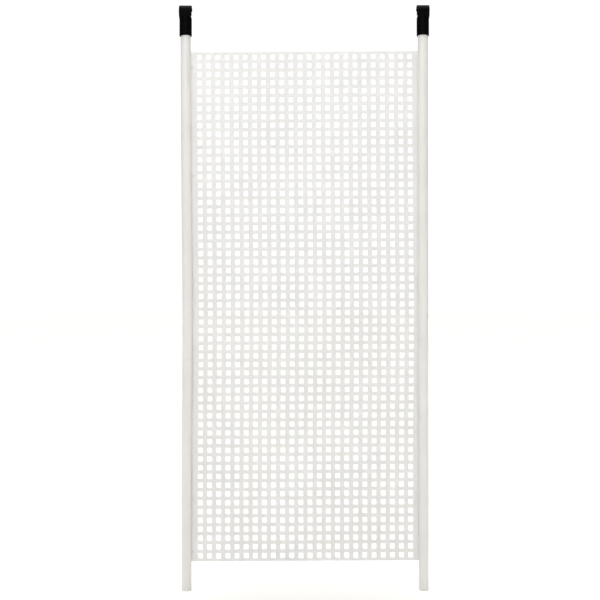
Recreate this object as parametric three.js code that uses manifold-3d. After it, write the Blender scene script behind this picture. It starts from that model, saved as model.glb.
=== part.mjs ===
// Hanging tool panel: a thin white sheet full of square holes, curled round the backs of two
// upright tubes and riveted to them from behind. Each tube has an end plug at its foot and a black
// push-on hook at its top, whose open jaw clips over a horizontal rail.
//
// Millimetres. X runs across the panel, Y from the front (-) to the back (+), Z up.
// The origin is on the axis of the rail that the hooks hang on, midway between them.
// Heights in this file are counted from the feet, and the whole panel is lowered at the end.
import * as THREE from 'three';
import { mergeVertices } from 'three/addons/utils/BufferGeometryUtils.js';
import Module from 'manifold-3d';

// Uprights
const poleSpacing = 388;
const poleDiameter = 16;
const poleWall = 1;
const poleAboveSheet = 49.4;

// End plugs
const plugFlange = 3;
const plugShank = 12;
const plugChamfer = 0.8;

// Sheet
const sheetHeight = 835;
const sheetBottom = 47;
const sheetThickness = 2;
const sheetSetback = 5;
const foldRadius = 2.5;
const flapEndAngle = 40;

// Square holes of the sheet. The solid carries every second hole of both directions.
const columnPitch = 15;
const rowPitch = 14.1;
const holeWidth = 8;
const holeHeight = 8.5;
const sideMargin = 6;
const endMargin = 4;
const holeStep = 2;

// Rivets behind the tubes
const rivetCount = 6;
const rivetFromTop = 26;
const rivetFromBottom = 15;
const lowestRivetPitch = 86;
const rivetShank = 3.2;
const rivetHead = 6.4;
const rivetHeadHeight = 1.2;
const rivetCrown = 4.5;
const rivetCrownDrop = 0.25;
const rivetBulb = 4.8;
const rivetBulbHeight = 1.6;

// Hooks
const railDiameter = 16;
const jawWall = 3.5;
const jawWidth = 20;
const jawWrapAngle = 255;
const sleeveWall = 1.8;
const sleeveLength = 25;
const hookFloor = 4.6;
const neckDepth = 12;
const notchDrop = 7;
const notchHeight = 15;
const notchLedge = 5;
const notchDepth = 1.4;

// Clearances
const fitGap = 0.3;
const railGap = 0.3;
const rivetHoleGap = 0.3;
const weldDistance = 0.0001;
const cutOverrun = 1;

// Facets
const poleSides = 32;
const holeSides = 12;
const rivetSides = 10;
const arcSteps = 6;
const jawSteps = 14;

// Worked out from the sizes above
const poleRadius = poleDiameter / 2;
const poleBore = poleRadius - poleWall;
const flapInner = poleRadius + fitGap;
const flapOuter = flapInner + sheetThickness;
const poleX = poleSpacing / 2;
const sheetTop = sheetBottom + sheetHeight;
const poleTop = sheetTop + poleAboveSheet;
const sheetFront = sheetSetback - sheetThickness / 2;
const sheetBack = sheetSetback + sheetThickness / 2;
const bendY = sheetFront + foldRadius;
const bendTurn = Math.asin(bendY / (flapInner + foldRadius));
const bendX = poleX - (flapInner + foldRadius) * Math.cos(bendTurn);
const sleeveBore = poleRadius + fitGap;
const sleeveRadius = sleeveBore + sleeveWall;
const floorBottom = poleTop + fitGap;
const jawInner = railDiameter / 2 + railGap;
const jawOuter = jawInner + jawWall;
const jawCentre = floorBottom + hookFloor + jawInner;

const wasm = await Module();
wasm.setup();

// ---------------------------------------------------------------- solids

function solidOf(geometry) {
  const plain = geometry.clone();
  plain.deleteAttribute('normal');
  plain.deleteAttribute('uv');
  const merged = mergeVertices(plain, weldDistance);
  const mesh = new wasm.Mesh({
    numProp: 3,
    vertProperties: Float32Array.from(merged.attributes.position.array),
    triVerts: Uint32Array.from(merged.index.array),
  });
  return new wasm.Manifold(mesh);
}

function geometryOf(solid) {
  const mesh = solid.getMesh();
  const geometry = new THREE.BufferGeometry();
  geometry.setAttribute('position', new THREE.BufferAttribute(mesh.vertProperties, 3));
  geometry.setIndex(new THREE.BufferAttribute(mesh.triVerts, 1));
  geometry.computeVertexNormals();
  return geometry;
}

// A round bar standing on z = bottom.
function uprightBar(radius, bottom, top, sides) {
  const bar = new THREE.CylinderGeometry(radius, radius, top - bottom, sides);
  bar.rotateX(Math.PI / 2);
  bar.translate(0, 0, (bottom + top) / 2);
  return bar;
}

// A round bar running front to back at height z.
function levelBar(radius, front, back, x, z) {
  const bar = new THREE.CylinderGeometry(radius, radius, back - front, holeSides);
  bar.translate(x, (front + back) / 2, z);
  return bar;
}

// A block given by its lowest and highest corners.
function block(low, high) {
  const box = new THREE.BoxGeometry(high[0] - low[0], high[1] - low[1], high[2] - low[2]);
  box.translate((low[0] + high[0]) / 2, (low[1] + high[1]) / 2, (low[2] + high[2]) / 2);
  return box;
}

// An outline drawn in the Y-Z plane and pushed out along X, centred on x = 0.
function sidewaysExtrude(outline, width) {
  const geometry = new THREE.ExtrudeGeometry(outline, {
    depth: width,
    bevelEnabled: false,
    curveSegments: jawSteps,
  });
  const across = new THREE.Vector3(1, 0, 0);
  const back = new THREE.Vector3(0, 1, 0);
  const up = new THREE.Vector3(0, 0, 1);
  geometry.applyMatrix4(new THREE.Matrix4().makeBasis(back, up, across));
  geometry.translate(-width / 2, 0, 0);
  return geometry;
}

// ---------------------------------------------------------------- materials

function material(colour, roughness, metalness = 0) {
  return new THREE.MeshStandardMaterial({ color: colour, roughness, metalness });
}

function named(name, geometry, finish) {
  const mesh = new THREE.Mesh(geometry, finish);
  mesh.name = name;
  return mesh;
}

const sheetPlastic = () => material('#efeeea', 0.45);
const poleEnamel = () => material('#f0efec', 0.35);
const hookPlastic = () => material('#0c0c0d', 0.4);
const plugPlastic = () => material('#e9e7e2', 0.55);
const rivetMetal = () => material('#c9cacb', 0.35, 0.9);

// ---------------------------------------------------------------- rivet places

// Heights of the rivets above the feet: evenly down from the sheet's top edge, and one more
// near its bottom edge, a shorter step below the rest.
function rivetHeights() {
  const highest = sheetTop - rivetFromTop;
  const lowest = sheetBottom + rivetFromBottom;
  const even = rivetCount - 1;
  const pitch = (highest - lowest - lowestRivetPitch) / (even - 1);
  const heights = Array.from({ length: even }, (_, index) => highest - index * pitch);
  return [...heights, lowest];
}

// ---------------------------------------------------------------- sheet

// The right half of the sheet's cross-section, from the front face's middle round the flap
// to the back face's middle.
function halfSection() {
  const towardsPole = -bendTurn;
  const hugStart = Math.PI - bendTurn;
  const hugEnd = THREE.MathUtils.degToRad(flapEndAngle);
  const half = new THREE.Path();
  half.moveTo(0, sheetFront);
  half.lineTo(bendX, sheetFront);
  half.absarc(bendX, bendY, foldRadius, -Math.PI / 2, towardsPole, false);
  half.absarc(poleX, 0, flapInner, hugStart, hugEnd, true);
  half.absarc(poleX, 0, flapOuter, hugEnd, hugStart, false);
  half.absarc(bendX, bendY, foldRadius - sheetThickness, towardsPole, -Math.PI / 2, true);
  half.lineTo(0, sheetBack);
  return half.getPoints(arcSteps);
}

function sheetSection() {
  const right = halfSection();
  const left = right.slice(1, -1).map((point) => new THREE.Vector2(-point.x, point.y));
  return new THREE.Shape([...right, ...left.reverse()]);
}

// Centres of the holes that fit between two ends, with at least `margin` of solid sheet
// between the outermost hole and each end.
function holeCentres(low, high, pitch, size, margin) {
  const room = high - low - 2 * margin - size;
  const steps = Math.floor(room / pitch);
  const first = (low + high - steps * pitch) / 2;
  return Array.from({ length: steps + 1 }, (_, index) => first + index * pitch);
}

function everySecond(centres) {
  return centres.filter((_, index) => index % holeStep === 0);
}

function holeCutters() {
  const columns = holeCentres(-bendX, bendX, columnPitch, holeWidth, sideMargin);
  const rows = holeCentres(sheetBottom, sheetTop, rowPitch, holeHeight, endMargin);
  const squares = [];
  for (const x of everySecond(columns)) {
    for (const z of everySecond(rows)) {
      const square = new THREE.Shape();
      square.moveTo(x - holeWidth / 2, z - holeHeight / 2);
      square.lineTo(x + holeWidth / 2, z - holeHeight / 2);
      square.lineTo(x + holeWidth / 2, z + holeHeight / 2);
      square.lineTo(x - holeWidth / 2, z + holeHeight / 2);
      squares.push(square);
    }
  }
  const depth = sheetThickness + 2 * cutOverrun;
  const cutters = new THREE.ExtrudeGeometry(squares, { depth, bevelEnabled: false });
  cutters.rotateX(Math.PI / 2);
  cutters.translate(0, sheetSetback + depth / 2, 0);
  return cutters;
}

function perforatedSheet() {
  const blank = new THREE.ExtrudeGeometry(sheetSection(), {
    depth: sheetHeight,
    bevelEnabled: false,
  });
  blank.translate(0, 0, sheetBottom);
  let sheet = solidOf(blank).subtract(solidOf(holeCutters()));
  const holeRadius = rivetShank / 2 + rivetHoleGap;
  const back = flapOuter + cutOverrun;
  for (const side of [-1, 1]) {
    for (const z of rivetHeights()) {
      const hole = levelBar(holeRadius, poleRadius, back, side * poleX, z);
      sheet = sheet.subtract(solidOf(hole));
    }
  }
  return geometryOf(sheet);
}

// ---------------------------------------------------------------- uprights

function pole() {
  const bottom = plugFlange + fitGap;
  const outside = solidOf(uprightBar(poleRadius, bottom, poleTop, poleSides));
  const bore = uprightBar(poleBore, bottom - cutOverrun, poleTop + cutOverrun, poleSides);
  let tube = outside.subtract(solidOf(bore));
  const holeRadius = rivetShank / 2 + rivetHoleGap;
  for (const z of rivetHeights()) {
    const hole = levelBar(holeRadius, 0, poleRadius + cutOverrun, 0, z);
    tube = tube.subtract(solidOf(hole));
  }
  return geometryOf(tube);
}

function endPlug() {
  const shankRadius = poleBore - fitGap;
  const outline = [
    new THREE.Vector2(0, 0),
    new THREE.Vector2(poleRadius - plugChamfer, 0),
    new THREE.Vector2(poleRadius, plugChamfer),
    new THREE.Vector2(poleRadius, plugFlange),
    new THREE.Vector2(shankRadius, plugFlange),
    new THREE.Vector2(shankRadius, plugFlange + plugShank),
    new THREE.Vector2(0, plugFlange + plugShank),
  ];
  const plug = new THREE.LatheGeometry(outline, poleSides);
  plug.rotateX(Math.PI / 2);
  return geometryOf(solidOf(plug));
}

// A blind rivet: domed head behind the flap, shank through flap and tube wall, bulb inside.
function rivet() {
  const headRadius = rivetHead / 2;
  const shankRadius = rivetShank / 2;
  const bulbRadius = rivetBulb / 2;
  const headSeat = flapOuter + fitGap / 2;
  const bulbTop = Math.sqrt(poleBore ** 2 - bulbRadius ** 2) - fitGap;
  const headTop = headSeat + rivetHeadHeight;
  const outline = [
    new THREE.Vector2(0, bulbTop - rivetBulbHeight),
    new THREE.Vector2(bulbRadius, bulbTop - rivetBulbHeight / 2),
    new THREE.Vector2(bulbRadius, bulbTop),
    new THREE.Vector2(shankRadius, bulbTop),
    new THREE.Vector2(shankRadius, headSeat),
    new THREE.Vector2(headRadius, headSeat),
    new THREE.Vector2(rivetCrown / 2, headTop - rivetCrownDrop),
    new THREE.Vector2(0, headTop),
  ];
  return geometryOf(solidOf(new THREE.LatheGeometry(outline, rivetSides)));
}

// ---------------------------------------------------------------- hooks

// The open ring that grips the rail: from straight behind, over the top and down the front,
// with rounded lips. The mouth faces back and down.
function jawOutline() {
  const end = THREE.MathUtils.degToRad(jawWrapAngle);
  const lip = jawWall / 2;
  const middle = jawInner + lip;
  const endY = middle * Math.cos(end);
  const endZ = jawCentre + middle * Math.sin(end);
  const jaw = new THREE.Shape();
  jaw.absarc(0, jawCentre, jawOuter, 0, end, false);
  jaw.absarc(endY, endZ, lip, end, end + Math.PI, false);
  jaw.absarc(0, jawCentre, jawInner, end, 0, true);
  jaw.absarc(middle, jawCentre, lip, Math.PI, Math.PI * 2, false);
  return jaw;
}

// A plain round bar the size of the jaw's inside, lying along X.
function railShape() {
  const round = new THREE.Path();
  round.absarc(0, jawCentre, jawInner, 0, Math.PI * 2, false);
  return new THREE.Shape(round.getPoints(jawSteps * 2).slice(0, -1));
}

// The cut in the hook's side that faces the sheet: a square upper edge, and a lower end that
// runs out to nothing.
function sideNotch(side) {
  const inside = sleeveRadius - notchDepth;
  const outside = sleeveRadius + cutOverrun;
  const reach = jawOuter + cutOverrun;
  const top = jawCentre + jawOuter - notchDrop;
  const outline = new THREE.Shape([
    new THREE.Vector2(outside, top),
    new THREE.Vector2(inside, top),
    new THREE.Vector2(inside, top - notchLedge),
    new THREE.Vector2(sleeveRadius, top - notchHeight),
    new THREE.Vector2(outside, top - notchHeight),
  ]);
  const notch = new THREE.ExtrudeGeometry(outline, { depth: 2 * reach, bevelEnabled: false });
  notch.rotateX(Math.PI / 2);
  notch.translate(0, reach, 0);
  if (side > 0) {
    notch.rotateZ(Math.PI);
  }
  return notch;
}

// A round sleeve rises in front of the rail and carries the jaw; behind the rail it stops at
// the solid floor that rests on the tube's end.
function hook(side) {
  const sleeveBottom = poleTop - sleeveLength;
  const floorTop = floorBottom + hookFloor;
  const beyond = sleeveRadius + cutOverrun;
  const column = solidOf(uprightBar(sleeveRadius, sleeveBottom, jawCentre, poleSides));
  const jaw = solidOf(sidewaysExtrude(jawOutline(), jawWidth));
  const rail = solidOf(sidewaysExtrude(railShape(), 2 * beyond));
  const bore = solidOf(uprightBar(sleeveBore, sleeveBottom - cutOverrun, floorBottom, poleSides));
  const behindRail = solidOf(block(
    [-beyond, neckDepth - sleeveRadius, floorTop],
    [beyond, beyond, jawCentre + cutOverrun],
  ));
  const body = column.subtract(rail).subtract(behindRail).subtract(bore).add(jaw);
  return geometryOf(body.subtract(solidOf(sideNotch(side))));
}

// ---------------------------------------------------------------- assembly

function upright(side, word) {
  const group = new THREE.Group();
  group.position.x = side * poleX;
  group.add(named(`pole_${word}`, pole(), poleEnamel()));
  group.add(named(`end_plug_${word}`, endPlug(), plugPlastic()));
  group.add(named(`hook_${word}`, hook(side), hookPlastic()));
  rivetHeights().forEach((height, index) => {
    const fastener = named(`rivet_${word}_${index + 1}`, rivet(), rivetMetal());
    fastener.position.z = height;
    group.add(fastener);
  });
  return group;
}

const panel = new THREE.Group();
panel.position.z = -jawCentre;
panel.add(named('perforated_sheet', perforatedSheet(), sheetPlastic()));
panel.add(upright(-1, 'left'));
panel.add(upright(1, 'right'));

export default panel;
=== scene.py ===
"""A hanging pegboard panel: a white sheet full of square holes, curled round the backs of two
tubes and riveted there, with black clip-on hooks that carry it from a rail."""

import math

import bmesh
import bpy
from mathutils import Matrix, Vector


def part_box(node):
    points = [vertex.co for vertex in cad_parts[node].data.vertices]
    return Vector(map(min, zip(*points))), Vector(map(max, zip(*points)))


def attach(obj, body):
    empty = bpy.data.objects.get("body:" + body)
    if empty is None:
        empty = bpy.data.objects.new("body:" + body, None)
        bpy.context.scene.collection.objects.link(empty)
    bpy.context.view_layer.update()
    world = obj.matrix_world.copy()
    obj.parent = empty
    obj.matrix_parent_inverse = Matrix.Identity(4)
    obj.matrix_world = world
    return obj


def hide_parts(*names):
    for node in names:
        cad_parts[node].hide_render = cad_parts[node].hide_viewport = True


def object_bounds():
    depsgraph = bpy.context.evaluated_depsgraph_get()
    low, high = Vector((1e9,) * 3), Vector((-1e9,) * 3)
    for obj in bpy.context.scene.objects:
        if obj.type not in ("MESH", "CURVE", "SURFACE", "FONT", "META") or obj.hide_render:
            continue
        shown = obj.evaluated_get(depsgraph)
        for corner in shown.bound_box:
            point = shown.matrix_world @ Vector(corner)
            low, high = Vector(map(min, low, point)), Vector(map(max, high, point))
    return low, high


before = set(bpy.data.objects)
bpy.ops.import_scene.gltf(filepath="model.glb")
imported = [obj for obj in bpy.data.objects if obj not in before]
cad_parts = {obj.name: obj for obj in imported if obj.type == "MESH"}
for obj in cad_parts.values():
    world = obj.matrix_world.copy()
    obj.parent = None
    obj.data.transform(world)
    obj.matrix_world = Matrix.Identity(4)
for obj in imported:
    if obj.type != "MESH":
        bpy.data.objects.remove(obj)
CAD_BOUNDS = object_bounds()

bl_info = {
    "name": "Hanging pegboard panel",
    "version": (1, 0, 0),
    "blender": (4, 5, 0),
    "location": "View3D > Sidebar > Pegboard",
    "description": "Builds the detailed pieces of a hanging pegboard panel",
    "category": "Add Mesh",
}

MM = 0.001
WELD = 0.00001
ACROSS = Vector((1, 0, 0))
BACK = Vector((0, 1, 0))
UP = Vector((0, 0, 1))
SIDES = {"left": -1, "right": 1}

# ---------------------------------------------------------------- places from the frame

SHEET_LOW, SHEET_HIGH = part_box("perforated_sheet")
POLE_LOW, POLE_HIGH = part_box("pole_right")
PLUG_LOW, PLUG_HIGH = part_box("end_plug_right")
HOOK_LOW, HOOK_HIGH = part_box("hook_right")
POLE_X = (POLE_LOW.x + POLE_HIGH.x) / 2
POLE_RADIUS = (POLE_HIGH.x - POLE_LOW.x) / 2
FIT = 0.3 * MM
FLAP_OUTER = SHEET_HIGH.y
FLAP_INNER = POLE_RADIUS + FIT
SHEET_THICKNESS = FLAP_OUTER - FLAP_INNER
WEB_Y = SHEET_LOW.y + SHEET_THICKNESS / 2
RIVETS = [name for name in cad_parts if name.startswith("rivet_")]
DENT_STEP = 1.4 * MM


def middle(node):
    """The centre of a node's box."""
    low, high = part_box(node)
    return (low + high) / 2


# ---------------------------------------------------------------- settings


class PEGBOARD_PG_sheet(bpy.types.PropertyGroup):
    """Sizes and colour of the perforated sheet."""

    columns: bpy.props.IntProperty(
        name="Columns", description="Holes across the sheet", default=24, min=2)
    rows: bpy.props.IntProperty(
        name="Rows", description="Holes up the sheet", default=59, min=2)
    column_pitch: bpy.props.FloatProperty(
        name="Column pitch", description="Distance between columns",
        default=15 * MM, unit="LENGTH")
    row_pitch: bpy.props.FloatProperty(
        name="Row pitch", description="Distance between rows",
        default=14.1 * MM, unit="LENGTH")
    hole_width: bpy.props.FloatProperty(
        name="Hole width", description="Width of a hole", default=8 * MM, unit="LENGTH")
    hole_height: bpy.props.FloatProperty(
        name="Hole height", description="Height of a hole", default=8.5 * MM, unit="LENGTH")
    corner: bpy.props.FloatProperty(
        name="Corner radius", description="Rounding of a hole's corners",
        default=0.9 * MM, unit="LENGTH")
    edge: bpy.props.FloatProperty(
        name="Edge", description="Softening of every cut edge",
        default=0.22 * MM, unit="LENGTH")
    fold: bpy.props.FloatProperty(
        name="Fold radius", description="Outside radius of the fold at a tube",
        default=2.5 * MM, unit="LENGTH")
    flap_end: bpy.props.FloatProperty(
        name="Flap end", description="Where the flap behind a tube stops",
        default=math.radians(40), unit="ROTATION")
    dent: bpy.props.FloatProperty(
        name="Dent", description="How far a rivet draws the fold in",
        default=1.4 * MM, unit="LENGTH")
    wave: bpy.props.FloatProperty(
        name="Wave", description="How far the thin sheet waves in and out",
        default=1.3 * MM, unit="LENGTH")
    sag: bpy.props.FloatProperty(
        name="Bow", description="How far the left tube and the grid bow to the right",
        default=2 * MM, unit="LENGTH")
    offset: bpy.props.FloatProperty(
        name="Grid offset", description="How far the holes sit to the right of the middle",
        default=0.6 * MM, unit="LENGTH")
    drift: bpy.props.FloatProperty(
        name="Row drift", description="How far the lower rows sit above an even spacing",
        default=4.5 * MM, unit="LENGTH")
    slope: bpy.props.FloatProperty(
        name="Slope", description="Rise of the rows from left to right",
        default=math.radians(0.23), unit="ROTATION")
    colour: bpy.props.FloatVectorProperty(
        name="Colour", description="White of the sheet", subtype="COLOR", size=3,
        min=0, max=1, default=(0.85, 0.845, 0.833))


class PEGBOARD_PG_poles(bpy.types.PropertyGroup):
    """Sizes and colour of the tubes, their plugs and the rivets."""

    wall: bpy.props.FloatProperty(
        name="Wall", description="Wall of a tube", default=1 * MM, unit="LENGTH")
    rim: bpy.props.FloatProperty(
        name="Rim", description="Rounding of a tube's cut ends",
        default=0.2 * MM, unit="LENGTH")
    plug_flange: bpy.props.FloatProperty(
        name="Plug flange", description="Height of a plug's visible end",
        default=3 * MM, unit="LENGTH")
    colour: bpy.props.FloatVectorProperty(
        name="Colour", description="White of the enamel", subtype="COLOR", size=3,
        min=0, max=1, default=(0.845, 0.83, 0.806))
    plug_colour: bpy.props.FloatVectorProperty(
        name="Plug colour", description="White of the end plugs", subtype="COLOR", size=3,
        min=0, max=1, default=(0.82, 0.81, 0.79))
    rivet_colour: bpy.props.FloatVectorProperty(
        name="Rivet colour", description="Colour of the bare rivets", subtype="COLOR",
        size=3, min=0, max=1, default=(0.78, 0.78, 0.79))


class PEGBOARD_PG_hooks(bpy.types.PropertyGroup):
    """Sizes and colour of the black hooks."""

    jaw_wall: bpy.props.FloatProperty(
        name="Jaw wall", description="Thickness of the jaw", default=3.5 * MM,
        unit="LENGTH")
    jaw_wrap: bpy.props.FloatProperty(
        name="Jaw wrap", description="How far the jaw reaches round the rail",
        default=math.radians(255), unit="ROTATION")
    floor: bpy.props.FloatProperty(
        name="Floor", description="Solid plastic between tube and rail",
        default=4.6 * MM, unit="LENGTH")
    jaw_width: bpy.props.FloatProperty(
        name="Jaw width", description="Width of the jaw along the rail",
        default=20 * MM, unit="LENGTH")
    neck_depth: bpy.props.FloatProperty(
        name="Neck depth", description="Depth of the neck beside the rail",
        default=12 * MM, unit="LENGTH")
    notch_drop: bpy.props.FloatProperty(
        name="Notch drop", description="From the hook's top to the cut in its inner side",
        default=7 * MM, unit="LENGTH")
    notch_height: bpy.props.FloatProperty(
        name="Notch height", description="Height of the cut in the jaw's inner side",
        default=15 * MM, unit="LENGTH")
    notch_ledge: bpy.props.FloatProperty(
        name="Notch ledge", description="Height over which the cut keeps its full depth",
        default=5 * MM, unit="LENGTH")
    notch_depth: bpy.props.FloatProperty(
        name="Notch depth", description="Depth of the cut in the jaw's inner side",
        default=1.4 * MM, unit="LENGTH")
    grain: bpy.props.FloatProperty(
        name="Mesh size", description="Size of the fine faces of a hook",
        default=0.35 * MM, unit="LENGTH")
    colour: bpy.props.FloatVectorProperty(
        name="Colour", description="Black of the hooks", subtype="COLOR", size=3,
        min=0, max=1, default=(0.0025, 0.0025, 0.0028))


class PEGBOARD_PG_stage(bpy.types.PropertyGroup):
    """Camera, floor and lights."""

    distance: bpy.props.FloatProperty(
        name="Distance", description="From the camera to the sheet", default=1.7,
        unit="LENGTH")
    rise: bpy.props.FloatProperty(
        name="Rise", description="Camera height above the sheet's middle",
        default=10.2 * MM, unit="LENGTH")
    aside: bpy.props.FloatProperty(
        name="Aside", description="Camera place left of the sheet's middle",
        default=7.7 * MM, unit="LENGTH")
    roll: bpy.props.FloatProperty(
        name="Roll", description="Turn of the camera about its own line of sight",
        default=math.radians(0.1), unit="ROTATION")
    lens: bpy.props.FloatProperty(
        name="Lens", description="Focal length in millimetres", default=62.2)
    drop: bpy.props.FloatProperty(
        name="Drop", description="Floor below the feet", default=60 * MM, unit="LENGTH")
    floor_size: bpy.props.FloatProperty(
        name="Floor size", description="Width of the floor", default=80.0, unit="LENGTH")
    floor_colour: bpy.props.FloatVectorProperty(
        name="Floor colour", description="Pale floor", subtype="COLOR", size=3,
        min=0, max=1, default=(0.93, 0.922, 0.91))
    sky: bpy.props.FloatProperty(
        name="Room light", description="Strength of the white room light from the front",
        default=0.10)
    sky_behind: bpy.props.FloatProperty(
        name="Room light behind", description="Strength of the room light from behind",
        default=0.10)
    key: bpy.props.FloatProperty(
        name="Key light", description="Power of the soft box above the camera",
        default=10.0)
    top: bpy.props.FloatProperty(
        name="Top light", description="Strength of the broad light from overhead",
        default=3.5)


# ---------------------------------------------------------------- mesh helpers


def new_piece(name, bm):
    """Turns a bmesh into a smooth-shaded object at the origin."""
    mesh = bpy.data.meshes.new(name)
    bm.to_mesh(mesh)
    bm.free()
    mesh.shade_smooth()
    piece = bpy.data.objects.new(name, mesh)
    bpy.context.scene.collection.objects.link(piece)
    return piece


def settle(piece, sharp=35):
    """Applies a piece's modifiers, and keeps edges over the angle sharp."""
    graph = bpy.context.evaluated_depsgraph_get()
    graph.update()
    mesh = bpy.data.meshes.new_from_object(piece.evaluated_get(graph))
    piece.modifiers.clear()
    old = piece.data
    piece.data = mesh
    mesh.name = piece.name
    bpy.data.meshes.remove(old)
    mesh.shade_smooth()
    mesh.set_sharp_from_angle(angle=math.radians(sharp))


def add_modifier(piece, kind, **values):
    """Adds a modifier and sets its values."""
    modifier = piece.modifiers.new(kind.title(), kind)
    for key, value in values.items():
        setattr(modifier, key, value)
    return modifier


def only(kind, geom):
    """The elements of one kind in an operator's result."""
    return [item for item in geom if isinstance(item, kind)]


def spun(bm, profile, centre, axis, segments):
    """A closed solid of revolution. The profile starts and ends on the axis."""
    verts = [bm.verts.new(point) for point in profile]
    edges = [bm.edges.new(pair) for pair in zip(verts, verts[1:])]
    bmesh.ops.spin(bm, geom=verts + edges, cent=centre, axis=axis, angle=2 * math.pi,
                   steps=segments, use_merge=True)
    bmesh.ops.remove_doubles(bm, verts=bm.verts, dist=WELD)
    bmesh.ops.recalc_face_normals(bm, faces=bm.faces)


def bar(radius, start, end, segments=96):
    """A capped round bar from one point to another, as a bmesh."""
    bm = bmesh.new()
    along = end - start
    turn = UP.rotation_difference(along).to_matrix().to_4x4()
    place = Matrix.Translation((start + end) / 2) @ turn
    bmesh.ops.create_cone(bm, cap_ends=True, segments=segments, radius1=radius,
                          radius2=radius, depth=along.length, matrix=place)
    return bm


def block(low, high):
    """A box between two corners, as a bmesh."""
    bm = bmesh.new()
    size = high - low
    place = Matrix.Translation((low + high) / 2) @ Matrix.Diagonal((*size, 1))
    bmesh.ops.create_cube(bm, size=1, matrix=place)
    return bm


def wedge(outline, reach):
    """An outline in the X-Z plane, carried from -reach to reach along Y."""
    bm = bmesh.new()
    face = bm.faces.new([bm.verts.new((x, -reach, z)) for x, z in outline])
    made = bmesh.ops.extrude_face_region(bm, geom=[face])["geom"]
    bmesh.ops.translate(bm, verts=only(bmesh.types.BMVert, made), vec=BACK * 2 * reach)
    bmesh.ops.recalc_face_normals(bm, faces=bm.faces)
    return bm


def cut_or_join(piece, tool_bm, operation):
    """Cuts a solid out of a piece, or joins it on."""
    tool = new_piece("tool", tool_bm)
    add_modifier(piece, "BOOLEAN", object=tool, operation=operation, solver="EXACT")
    settle(piece)
    bpy.data.objects.remove(tool)


def place_in_frame(piece, body, node, material):
    """Gives a piece its material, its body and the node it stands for."""
    piece.data.materials.clear()
    piece.data.materials.append(material)
    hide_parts(node)
    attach(piece, body)


# ---------------------------------------------------------------- materials


class Finish:
    """A material under construction, patterned in object coordinates."""

    def __init__(self, name):
        self.material = bpy.data.materials.new(name)
        self.material.use_nodes = True
        self.tree = self.material.node_tree
        self.shader = self.tree.nodes["Principled BSDF"]
        self.place = self.node("ShaderNodeTexCoord").outputs["Object"]

    def node(self, kind, **inputs):
        """A new node, with the given input values."""
        made = self.tree.nodes.new(kind)
        for key, value in inputs.items():
            made.inputs[key.replace("_", " ")].default_value = value
        return made

    def link(self, source, target):
        self.tree.links.new(source, target)

    def stretched(self, scale):
        """Object coordinates scaled along the three axes."""
        mapping = self.node("ShaderNodeMapping")
        mapping.inputs["Scale"].default_value = scale
        self.link(self.place, mapping.inputs["Vector"])
        return mapping.outputs["Vector"]

    def noise(self, scale, detail=3.0, roughness=0.55, vector=None):
        """Noise with that many features per metre."""
        made = self.node("ShaderNodeTexNoise", Scale=scale, Detail=detail,
                         Roughness=roughness)
        self.link(vector or self.place, made.inputs["Vector"])
        return made.outputs["Fac"]

    def between(self, value, low, high, to_low, to_high):
        """A value carried from one range to another."""
        made = self.node("ShaderNodeMapRange")
        made.interpolation_type = "SMOOTHSTEP"
        for key, number in zip(("From Min", "From Max", "To Min", "To Max"),
                               (low, high, to_low, to_high)):
            made.inputs[key].default_value = number
        self.link(value, made.inputs["Value"])
        return made.outputs["Result"]

    def mix(self, factor, first, second):
        """Two colours, or a socket and a colour, mixed by a factor."""
        made = self.node("ShaderNodeMix")
        made.data_type = "RGBA"
        self.link(factor, made.inputs["Factor"])
        for socket, colour in zip((made.inputs[6], made.inputs[7]), (first, second)):
            if isinstance(colour, bpy.types.NodeSocket):
                self.link(colour, socket)
            else:
                socket.default_value = (*colour, 1)
        return made.outputs[2]

    def relief(self, height, distance, strength=1.0, under=None):
        """A bump of that many metres."""
        made = self.node("ShaderNodeBump", Distance=distance, Strength=strength)
        self.link(height, made.inputs["Height"])
        if under:
            self.link(under, made.inputs["Normal"])
        return made.outputs["Normal"]

    def set(self, **values):
        """Sets the shader's own sockets, or links them to a source."""
        for key, value in values.items():
            socket = self.shader.inputs[key.replace("_", " ")]
            if isinstance(value, bpy.types.NodeSocket):
                self.link(value, socket)
            else:
                socket.default_value = value


def shade(colour, factor):
    """A colour made darker or lighter."""
    return tuple(min(1.0, part * factor) for part in colour)


def sheet_plastic(colour):
    """Satin white plastic sheet, faintly mottled, with a rolled grain and light handling marks."""
    finish = Finish("sheet_plastic")
    warm = (colour[0] * 0.985, colour[1] * 0.97, colour[2] * 0.945)
    cloud = finish.between(finish.noise(9, 4), 0.35, 0.65, 0, 1)
    tone = finish.mix(cloud, shade(colour, 1.01), shade(colour, 0.975))
    speck = finish.between(finish.noise(240, 5, 0.6), 0.62, 0.78, 0, 0.5)
    dust = finish.mix(speck, tone, warm)
    finish.set(Base_Color=dust)
    gloss = finish.noise(28, 5, 0.6)
    finish.set(Roughness=finish.between(gloss, 0.3, 0.7, 0.3, 0.46))
    grain = finish.relief(finish.noise(2200, 2), 0.03 * MM, 0.5)
    rolled = finish.noise(90, 3, vector=finish.stretched((1, 1, 0.25)))
    finish.set(Normal=finish.relief(rolled, 0.12 * MM, 0.6, under=grain))
    finish.set(IOR=1.49, Subsurface_Weight=0.05, Subsurface_Radius=(0.6, 0.5, 0.4),
               Subsurface_Scale=1 * MM)
    return finish.material


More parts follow.
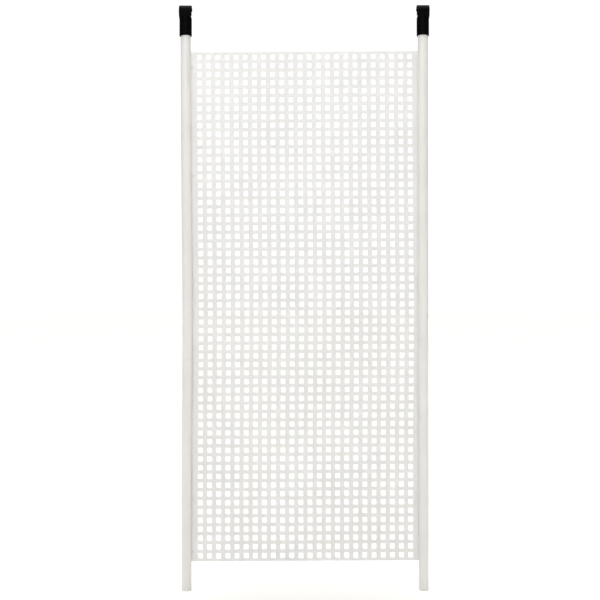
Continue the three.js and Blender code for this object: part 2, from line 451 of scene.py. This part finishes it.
def pole_enamel(colour):
    """White powder coat on steel tube: orange peel, soft gloss and faint rubbed streaks."""
    finish = Finish("pole_enamel")
    cloud = finish.between(finish.noise(14, 3), 0.35, 0.65, 0, 1)
    tone = finish.mix(cloud, shade(colour, 1.01), shade(colour, 0.975))
    streak = finish.noise(60, 6, 0.7, vector=finish.stretched((1, 1, 0.06)))
    rubbed = finish.between(streak, 0.64, 0.74, 0, 0.35)
    finish.set(Base_Color=finish.mix(rubbed, tone, shade(colour, 0.86)))
    finish.set(Roughness=finish.between(streak, 0.3, 0.75, 0.26, 0.42))
    peel = finish.noise(620, 2, 0.45)
    finish.set(Normal=finish.relief(peel, 0.05 * MM, 0.5))
    finish.set(IOR=1.5, Coat_Weight=0.25, Coat_Roughness=0.2)
    return finish.material


def hook_nylon(colour):
    """Black moulded nylon: a fine spark-eroded grain, duller and brighter areas, faint scuffs."""
    finish = Finish("hook_nylon")
    scuff = finish.noise(170, 7, 0.72, vector=finish.stretched((1, 1, 0.3)))
    worn = finish.between(scuff, 0.6, 0.8, 0, 0.6)
    finish.set(Base_Color=finish.mix(worn, colour, (0.007, 0.007, 0.0075)))
    finish.set(Roughness=finish.between(finish.noise(120, 5), 0.3, 0.7, 0.27, 0.46))
    grain = finish.noise(3200, 2, 0.5)
    wide = finish.relief(finish.noise(160, 2), 0.05 * MM, 0.4)
    finish.set(Normal=finish.relief(grain, 0.02 * MM, 0.6, under=wide))
    finish.set(IOR=1.53, Specular_IOR_Level=0.02)
    return finish.material


def plug_plastic(colour):
    """Soft white plastic with a matt, slightly dirty surface."""
    finish = Finish("plug_plastic")
    dirt = finish.between(finish.noise(260, 5, 0.65), 0.5, 0.75, 0, 0.6)
    finish.set(Base_Color=finish.mix(dirt, colour, shade(colour, 0.85)))
    finish.set(Roughness=finish.between(finish.noise(90, 3), 0.3, 0.7, 0.45, 0.62))
    finish.set(Normal=finish.relief(finish.noise(1500, 3), 0.04 * MM, 0.6))
    finish.set(IOR=1.5, Subsurface_Weight=0.08, Subsurface_Scale=1 * MM)
    return finish.material


def rivet_metal(colour):
    """Bare aluminium, lightly tumbled and dulled."""
    finish = Finish("rivet_metal")
    dull = finish.between(finish.noise(900, 5, 0.65), 0.4, 0.7, 0, 1)
    finish.set(Base_Color=finish.mix(dull, colour, shade(colour, 0.8)), Metallic=1.0)
    finish.set(Roughness=finish.between(finish.noise(600, 4), 0.3, 0.7, 0.26, 0.48))
    finish.set(Normal=finish.relief(finish.noise(2600, 3), 0.02 * MM, 0.6))
    return finish.material


# ---------------------------------------------------------------- sheet


def hole_cell(bm, s):
    """One rounded square hole in its share of the sheet, flat in the X-Z plane."""
    half = (s.column_pitch / 2, s.row_pitch / 2)
    reach = (s.hole_width / 2 - s.corner, s.hole_height / 2 - s.corner)
    signs = ((1, 1), (-1, 1), (-1, -1), (1, -1))
    rings = ([], [])
    for quarter, (sx, sz) in enumerate(signs):
        cx, cz = sx * reach[0], sz * reach[1]
        sides = ((half[0], cz), (cx, half[1]), (-half[0], cz), (cx, -half[1]))
        rims = (sides[quarter], (sx * half[0], sz * half[1]), sides[(quarter + 1) % 4])
        for step, rim in enumerate(rims):
            turn = (quarter + step / 2) * math.pi / 2
            inner = (cx + s.corner * math.cos(turn), cz + s.corner * math.sin(turn))
            for ring, (x, z) in zip(rings, (inner, rim)):
                ring.append(bm.verts.new((x, 0, z)))
    edges = []
    for ring in rings:
        edges += [bm.edges.new(pair) for pair in zip(ring, ring[1:] + ring[:1])]
    bmesh.ops.bridge_loops(bm, edges=edges)


def repeat(bm, step, times):
    """Repeats everything in the mesh along a step."""
    everything = bm.verts[:] + bm.edges[:] + bm.faces[:]
    bmesh.ops.spin(bm, geom=everything, cent=(0, 0, 0), axis=UP, dvec=step, angle=0,
                   steps=times - 1, use_duplicate=True)


def border(bm, axis, value):
    """The open edges that lie at one value of an axis."""
    return [edge for edge in bm.edges if edge.is_boundary
            and all(abs(vert.co[axis] - value) < WELD for vert in edge.verts)]


def widen(bm, axis, value, target):
    """Carries one border of the flat sheet out to a new line."""
    made = bmesh.ops.extrude_edge_only(bm, edges=border(bm, axis, value))["geom"]
    move = Vector((0, 0, 0))
    move[axis] = target - value
    bmesh.ops.translate(bm, verts=only(bmesh.types.BMVert, made), vec=move)


def fold_flap(bm, s, side, fold_x, fold_y, turn):
    """Folds one long border back and wraps it round behind its tube."""
    edges = border(bm, 0, side * fold_x)
    bend = bmesh.ops.spin(bm, geom=edges, cent=(side * fold_x, fold_y, 0), axis=UP,
                          angle=side * (math.pi / 2 - turn), steps=3)
    last = only(bmesh.types.BMEdge, bend["geom_last"])
    wrap = math.pi - turn - s.flap_end
    bmesh.ops.spin(bm, geom=last, cent=(side * POLE_X, 0, 0), axis=UP,
                   angle=-side * wrap, steps=7)


def slice_margin(bm, side, grid_x):
    """Adds level lines across a margin and its flap, close together at each rivet."""
    levels = [middle(name).z + step * DENT_STEP for name in RIVETS
              if middle(name).x * side > 0 for step in range(-3, 4)]
    for level in levels:
        near = [face for face in bm.faces if side * face.calc_center_median().x > grid_x]
        geom = near + list({edge for face in near for edge in face.edges})
        bmesh.ops.bisect_plane(bm, geom=geom, dist=WELD, plane_co=(0, 0, level), plane_no=UP)


def sheet_middle_surface(s):
    """The sheet without its thickness: web, holes, folds and flaps."""
    fold_y = SHEET_LOW.y + s.fold
    turn = math.asin(fold_y / (FLAP_INNER + s.fold))
    fold_x = POLE_X - (FLAP_INNER + s.fold) * math.cos(turn)
    bm = bmesh.new()
    hole_cell(bm, s)
    repeat(bm, ACROSS * s.column_pitch, s.columns)
    repeat(bm, UP * s.row_pitch, s.rows)
    bmesh.ops.remove_doubles(bm, verts=bm.verts, dist=WELD)
    grid_width = (s.columns - 1) * s.column_pitch
    grid_height = (s.rows - 1) * s.row_pitch
    centre_z = (SHEET_LOW.z + SHEET_HIGH.z) / 2
    bmesh.ops.translate(bm, verts=bm.verts,
                        vec=(-grid_width / 2, WEB_Y, centre_z - grid_height / 2))
    edge_x = (grid_width + s.column_pitch) / 2
    edge_z = (grid_height + s.row_pitch) / 2
    widen(bm, 2, centre_z - edge_z, SHEET_LOW.z)
    widen(bm, 2, centre_z + edge_z, SHEET_HIGH.z)
    for side in (-1, 1):
        widen(bm, 0, side * edge_x, side * (fold_x + edge_x) / 2)
        widen(bm, 0, side * (fold_x + edge_x) / 2, side * fold_x)
        fold_flap(bm, s, side, fold_x, fold_y, turn)
        bmesh.ops.remove_doubles(bm, verts=bm.verts, dist=WELD)
        slice_margin(bm, side, edge_x)
    bmesh.ops.recalc_face_normals(bm, faces=bm.faces)
    return bm, fold_x, edge_x


def share(z):
    """Height on the sheet, from -0.5 at its lower edge to 0.5 at its upper edge."""
    return (z - (SHEET_LOW.z + SHEET_HIGH.z) / 2) / (SHEET_HIGH.z - SHEET_LOW.z)


def bow(amount, z):
    """How far the left tube, and what is fixed to it, bows to the right at a height."""
    return amount * math.exp(-(share(z) / 0.24) ** 2)


def row_drift(amount, z):
    """How far a row sits above its even place: most at a quarter of the height."""
    down = max(0.0, min(1.0, 0.5 - share(z)))
    if down < 0.74:
        return amount * (down / 0.74) ** 0.9
    return amount * (1 - ((down - 0.74) / 0.26) ** 1.8)


def relax(mesh, s, fold_x, grid_x):
    """Gives the thin sheet its slight waves, its bow, its skew and its dents at the rivets."""
    levels = {side: [middle(name).z for name in RIVETS if middle(name).x * side > 0]
              for side in (-1, 1)}
    for vert in mesh.vertices:
        x, _, z = vert.co
        across = max(-1.0, min(1.0, x / fold_x))
        up = share(z)
        hold = math.cos(across * math.pi / 2) ** 0.8
        swell = math.sin(7.1 * up + 1.4 * across + 0.6) * math.cos(2.3 * across - 3.7 * up)
        ripple = math.sin(15.7 * up - 3.9 * across + 2.1)
        vert.co.y += s.wave * hold * (0.75 * swell + 0.3 * ripple)
        let_go = min(1.0, max(0.0, (fold_x - x) / (fold_x - grid_x)))
        vert.co.x += bow(s.sag, z) * let_go
        inside = min(1.0, max(0.0, (fold_x - abs(x)) / (fold_x - grid_x)))
        vert.co.x += s.offset * inside
        vert.co.z += row_drift(s.drift, z) * inside
        vert.co.z += math.tan(s.slope) * max(-fold_x, min(fold_x, x))
        from_fold = (abs(x) - fold_x) / (2.5 * MM)
        if -2 < from_fold < 1:
            nearest = min(abs(z - level) for level in levels[1 if x > 0 else -1])
            near = math.exp(-(nearest / DENT_STEP) ** 2 / 2 - from_fold ** 2)
            vert.co.y += s.dent * near


class PEGBOARD_OT_sheet(bpy.types.Operator):
    """Build the perforated sheet with all its holes, folds and flaps"""

    bl_idname = "pegboard.sheet"
    bl_label = "Perforated sheet"

    def execute(self, context):
        s = context.scene.pegboard_sheet
        bm, fold_x, grid_x = sheet_middle_surface(s)
        sheet = new_piece("sheet_with_square_holes", bm)
        add_modifier(sheet, "SOLIDIFY", thickness=SHEET_THICKNESS, offset=0,
                     use_even_offset=True, use_rim=True)
        add_modifier(sheet, "BEVEL", width=s.edge, segments=1, limit_method="ANGLE",
                     angle_limit=math.radians(50))
        settle(sheet)
        relax(sheet.data, s, fold_x, grid_x)
        place_in_frame(sheet, "board", "perforated_sheet",
                       sheet_plastic(s.colour))
        return {"FINISHED"}


# ---------------------------------------------------------------- tubes, plugs, rivets


def bow_with_sheet(bm, context):
    """Bends a left-hand piece along with the sheet's bow."""
    amount = context.scene.pegboard_sheet.sag
    for vert in bm.verts:
        vert.co.x += bow(amount, vert.co.z)


class PEGBOARD_OT_poles(bpy.types.Operator):
    """Build the two enamelled tubes"""

    bl_idname = "pegboard.poles"
    bl_label = "Tubes"

    def execute(self, context):
        s = context.scene.pegboard_poles
        finish = pole_enamel(s.colour)
        for word, side in SIDES.items():
            bm = bar(POLE_RADIUS, Vector((side * POLE_X, 0, POLE_LOW.z)),
                     Vector((side * POLE_X, 0, POLE_HIGH.z)))
            caps = [face for face in bm.faces if abs(face.normal.z) > 0.5]
            bmesh.ops.delete(bm, geom=caps, context="FACES_ONLY")
            bmesh.ops.subdivide_edges(bm, cuts=40, edges=[
                edge for edge in bm.edges if not edge.is_boundary])
            if side < 0:
                bow_with_sheet(bm, context)
            tube = new_piece(f"tube_{word}", bm)
            add_modifier(tube, "SOLIDIFY", thickness=s.wall, offset=-1, use_rim=True)
            add_modifier(tube, "BEVEL", width=s.rim, segments=2, limit_method="ANGLE",
                         angle_limit=math.radians(50))
            settle(tube)
            place_in_frame(tube, "board", f"pole_{word}", finish)
        return {"FINISHED"}


def plug_profile(s):
    """Points of half an end plug: domed flange, neck and ribbed shank."""
    bore = POLE_RADIUS - s.wall
    shank = bore - 0.3 * MM
    foot, top = PLUG_LOW.z, PLUG_HIGH.z
    seat = foot + s.plug_flange
    chamfer = 0.9 * MM
    points = [(0, foot + 0.25 * MM), (POLE_RADIUS * 0.55, foot), (POLE_RADIUS - chamfer, foot)]
    for step in range(1, 4):
        turn = step / 4 * math.pi / 2
        points.append((POLE_RADIUS - chamfer + chamfer * math.sin(turn),
                       foot + chamfer - chamfer * math.cos(turn)))
    points += [(POLE_RADIUS, foot + chamfer), (POLE_RADIUS, seat - 0.2 * MM),
               (POLE_RADIUS - 0.2 * MM, seat), (shank, seat)]
    ribs = 4
    rib_room = (top - seat - 2 * MM) / ribs
    for rib in range(ribs):
        low = seat + rib * rib_room
        points += [(shank - 0.6 * MM, low + 0.3 * MM), (shank - 0.6 * MM, low + 0.55 * rib_room),
                   (shank, low + 0.8 * rib_room), (shank, low + rib_room)]
    points += [(shank - 1.2 * MM, top), (0, top)]
    return points


class PEGBOARD_OT_plugs(bpy.types.Operator):
    """Build the plugs in the tubes' lower ends"""

    bl_idname = "pegboard.plugs"
    bl_label = "End plugs"

    def execute(self, context):
        s = context.scene.pegboard_poles
        finish = plug_plastic(s.plug_colour)
        for word, side in SIDES.items():
            bm = bmesh.new()
            centre = Vector((side * POLE_X, 0, 0))
            profile = [centre + ACROSS * r + UP * z for r, z in plug_profile(s)]
            spun(bm, profile, centre, UP, 64)
            plug = new_piece(f"foot_plug_{word}", bm)
            settle(plug, 40)
            place_in_frame(plug, "board", f"end_plug_{word}", finish)
        return {"FINISHED"}


def rivet_profile(low, high):
    """Points of half a blind rivet from its bulb (low y) to its domed head (high y)."""
    head = (high.x - low.x) / 2
    shank, bulb = head * 0.5, head * 0.74
    seat = high.y - 1.2 * MM
    dome = seat + 0.25 * MM
    points = [(0, low.y), (bulb * 0.7, low.y + 0.1 * MM), (bulb, low.y + 0.7 * MM),
              (bulb, low.y + 1.4 * MM), (shank, low.y + 1.6 * MM), (shank, seat), (head, seat),
              (head, dome)]
    for step in range(1, 6):
        turn = step / 6 * math.pi / 2
        points.append((head * math.cos(turn), dome + (high.y - dome) * math.sin(turn)))
    pit = head * 0.26
    points += [(pit, high.y), (pit * 0.8, high.y - 0.45 * MM), (0, high.y - 0.45 * MM)]
    return points


class PEGBOARD_OT_rivets(bpy.types.Operator):
    """Build the blind rivets behind the tubes"""

    bl_idname = "pegboard.rivets"
    bl_label = "Rivets"

    def execute(self, context):
        finish = rivet_metal(context.scene.pegboard_poles.rivet_colour)
        for name in RIVETS:
            low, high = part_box(name)
            place = middle(name)
            centre = Vector((place.x, 0, place.z))
            profile = [centre + ACROSS * r + BACK * y for r, y in rivet_profile(low, high)]
            bm = bmesh.new()
            spun(bm, profile, centre, BACK, 40)
            if place.x < 0:
                bow_with_sheet(bm, context)
            piece = new_piece(f"blind_{name}", bm)
            settle(piece, 40)
            place_in_frame(piece, "board", name, finish)
        return {"FINISHED"}


# ---------------------------------------------------------------- hooks


def jaw_ring(s, width, outer):
    """The open ring that grips the rail, as a bmesh about the X axis."""
    inner = outer - s.jaw_wall
    bm = bmesh.new()
    corners = [(-width / 2, inner), (width / 2, inner), (width / 2, outer), (-width / 2, outer)]
    face = bm.faces.new([bm.verts.new((x, y, 0)) for x, y in corners])
    bmesh.ops.spin(bm, geom=[face], cent=(0, 0, 0), axis=ACROSS, angle=s.jaw_wrap, steps=72)
    bmesh.ops.recalc_face_normals(bm, faces=bm.faces)
    return bm


def build_hook(s, word, side):
    """A black hook: sleeve, floor and jaw, with softened moulded edges."""
    low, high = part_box(f"hook_{word}")
    centre_x = (low.x + high.x) / 2
    radius = (high.x - low.x) / 2
    outer = high.z
    inner = outer - s.jaw_wall
    floor_top = -inner
    here = ACROSS * centre_x
    margin = 1 * MM
    hook = new_piece(f"rail_hook_{word}", bar(radius, here + UP * low.z, here))
    rail = bar(inner, here - ACROSS * 2 * radius, here + ACROSS * 2 * radius)
    cut_or_join(hook, rail, "DIFFERENCE")
    behind = block(Vector((centre_x - 2 * radius, s.neck_depth - radius, floor_top)),
                   Vector((centre_x + 2 * radius, 2 * radius, margin)))
    cut_or_join(hook, behind, "DIFFERENCE")
    bore_top = floor_top - s.floor
    bore = bar(FLAP_INNER, here + UP * (low.z - margin), here + UP * bore_top)
    cut_or_join(hook, bore, "DIFFERENCE")
    ring = jaw_ring(s, s.jaw_width, outer)
    lip = outer - s.jaw_wall / 2
    bmesh.ops.translate(ring, verts=ring.verts, vec=here)
    cut_or_join(hook, ring, "UNION")
    for turn in (0, s.jaw_wrap):
        point = here + BACK * lip * math.cos(turn) + UP * lip * math.sin(turn)
        reach = ACROSS * s.jaw_width / 2
        edge = bar(s.jaw_wall / 2, point - reach, point + reach, 32)
        cut_or_join(hook, edge, "UNION")
    top = outer - s.notch_drop
    outline = [(radius + margin, top), (radius - s.notch_depth, top),
               (radius - s.notch_depth, top - s.notch_ledge), (radius, top - s.notch_height),
               (radius + margin, top - s.notch_height)]
    notch = wedge([(centre_x - side * away, z) for away, z in outline], 2 * radius)
    cut_or_join(hook, notch, "DIFFERENCE")
    add_modifier(hook, "REMESH", mode="VOXEL", voxel_size=s.grain)
    add_modifier(hook, "SMOOTH", factor=0.5, iterations=6)
    settle(hook, 180)
    return hook


class PEGBOARD_OT_hooks(bpy.types.Operator):
    """Build the black hooks on the tubes' upper ends"""

    bl_idname = "pegboard.hooks"
    bl_label = "Hooks"

    def execute(self, context):
        s = context.scene.pegboard_hooks
        finish = hook_nylon(s.colour)
        for word, side in SIDES.items():
            hook = build_hook(s, word, side)
            place_in_frame(hook, f"{word}_hook", f"hook_{word}", finish)
        return {"FINISHED"}


# ---------------------------------------------------------------- stage


def floor_finish(colour):
    """Plain pale floor with a faint unevenness."""
    finish = Finish("pale_floor")
    patch = finish.between(finish.noise(2, 3), 0.3, 0.7, 0, 1)
    finish.set(Base_Color=finish.mix(patch, colour, shade(colour, 0.985)), Roughness=0.8)
    return finish.material


def room_light(s):
    """A white room: bright behind the panel, and light on it that is strongest from the front."""
    world = bpy.data.worlds.new("white_room")
    world.use_nodes = True
    tree = world.node_tree
    lamp = tree.nodes["Background"]
    lamp.inputs["Color"].default_value = (1.0, 0.985, 0.96, 1)
    place = tree.nodes.new("ShaderNodeTexCoord")
    parts = tree.nodes.new("ShaderNodeSeparateXYZ")
    fade = tree.nodes.new("ShaderNodeMapRange")
    fade.interpolation_type = "SMOOTHSTEP"
    for key, number in zip(("From Min", "From Max", "To Min", "To Max"),
                           (-0.45, 0.15, s.sky, s.sky_behind)):
        fade.inputs[key].default_value = number
    tree.links.new(place.outputs["Generated"], parts.inputs["Vector"])
    tree.links.new(parts.outputs["Y"], fade.inputs["Value"])
    tree.links.new(fade.outputs["Result"], lamp.inputs["Strength"])
    wall = tree.nodes.new("ShaderNodeBackground")
    wall.inputs["Color"].default_value = (1, 1, 1, 1)
    wall.inputs["Strength"].default_value = 1.05
    path = tree.nodes.new("ShaderNodeLightPath")
    blend = tree.nodes.new("ShaderNodeMixShader")
    tree.links.new(path.outputs["Is Camera Ray"], blend.inputs["Fac"])
    tree.links.new(lamp.outputs["Background"], blend.inputs[1])
    tree.links.new(wall.outputs["Background"], blend.inputs[2])
    tree.links.new(blend.outputs["Shader"], tree.nodes["World Output"].inputs["Surface"])
    bpy.context.scene.world = world


def soft_box(name, place, target, size, power, colour=(1, 1, 1)):
    """A square area light turned towards a point."""
    lamp = bpy.data.lights.new(name, "AREA")
    lamp.size = size
    lamp.energy = power
    lamp.color = colour
    holder = bpy.data.objects.new(name, lamp)
    holder.location = place
    holder.rotation_euler = (target - place).to_track_quat("-Z", "Y").to_euler()
    bpy.context.scene.collection.objects.link(holder)


def overhead_light(strength):
    """Broad light from straight above, which brightens the floor and grazes the panel."""
    lamp = bpy.data.lights.new("overhead", "SUN")
    lamp.energy = strength
    lamp.color = (1.0, 0.985, 0.965)
    lamp.angle = math.radians(60)
    holder = bpy.data.objects.new("overhead", lamp)
    bpy.context.scene.collection.objects.link(holder)


class PEGBOARD_OT_stage(bpy.types.Operator):
    """Set up the pale floor, the soft lights and the camera"""

    bl_idname = "pegboard.stage"
    bl_label = "Floor, lights and camera"

    def execute(self, context):
        s = context.scene.pegboard_stage
        centre = Vector((0, 0, (SHEET_LOW.z + SHEET_HIGH.z) / 2))
        level = CAD_BOUNDS[0][2] - s.drop
        bm = bmesh.new()
        place = Matrix.Translation((0, 0, level))
        bmesh.ops.create_grid(bm, x_segments=1, y_segments=1, size=s.floor_size / 2, matrix=place)
        floor = new_piece("floor", bm)
        floor.data.materials.append(floor_finish(s.floor_colour))
        room_light(s)
        soft_box("front_soft_box", centre + Vector((-0.25, -1.5, 1.1)), centre + UP * 0.1, 1.2,
                 s.key, (0.95, 0.98, 1.0))
        overhead_light(s.top)
        lens = bpy.data.cameras.new("camera")
        lens.lens = s.lens
        lens.sensor_width = 36
        camera = bpy.data.objects.new("camera", lens)
        camera.location = centre + Vector((-s.aside, SHEET_LOW.y - s.distance, s.rise))
        camera.rotation_euler = (math.pi / 2, s.roll, 0)
        context.scene.collection.objects.link(camera)
        context.scene.camera = camera
        context.scene.view_settings.view_transform = "Standard"
        return {"FINISHED"}


# ---------------------------------------------------------------- sidebar and registration


class PEGBOARD_PT_panel(bpy.types.Panel):
    """Buttons and settings of the pegboard panel"""

    bl_label = "Hanging pegboard panel"
    bl_idname = "PEGBOARD_PT_panel"
    bl_space_type = "VIEW_3D"
    bl_region_type = "UI"
    bl_category = "Pegboard"

    def draw(self, context):
        for name, group, operators in SECTIONS:
            settings = getattr(context.scene, name)
            column = self.layout.column(align=True)
            for operator in operators:
                column.operator(operator.bl_idname)
            for key in group.__annotations__:
                column.prop(settings, key)


SECTIONS = (
    ("pegboard_sheet", PEGBOARD_PG_sheet, (PEGBOARD_OT_sheet,)),
    ("pegboard_poles", PEGBOARD_PG_poles,
     (PEGBOARD_OT_poles, PEGBOARD_OT_plugs, PEGBOARD_OT_rivets)),
    ("pegboard_hooks", PEGBOARD_PG_hooks, (PEGBOARD_OT_hooks,)),
    ("pegboard_stage", PEGBOARD_PG_stage, (PEGBOARD_OT_stage,)),
)


def register():
    for name, group, operators in SECTIONS:
        bpy.utils.register_class(group)
        setattr(bpy.types.Scene, name, bpy.props.PointerProperty(type=group))
        for operator in operators:
            bpy.utils.register_class(operator)
    bpy.utils.register_class(PEGBOARD_PT_panel)


def unregister():
    bpy.utils.unregister_class(PEGBOARD_PT_panel)
    for name, group, operators in reversed(SECTIONS):
        for operator in reversed(operators):
            bpy.utils.unregister_class(operator)
        delattr(bpy.types.Scene, name)
        bpy.utils.unregister_class(group)


def main():
    register()
    bpy.ops.pegboard.stage()
    bpy.ops.pegboard.sheet()
    bpy.ops.pegboard.poles()
    bpy.ops.pegboard.plugs()
    bpy.ops.pegboard.rivets()
    bpy.ops.pegboard.hooks()


if __name__ == "__main__":
    main()
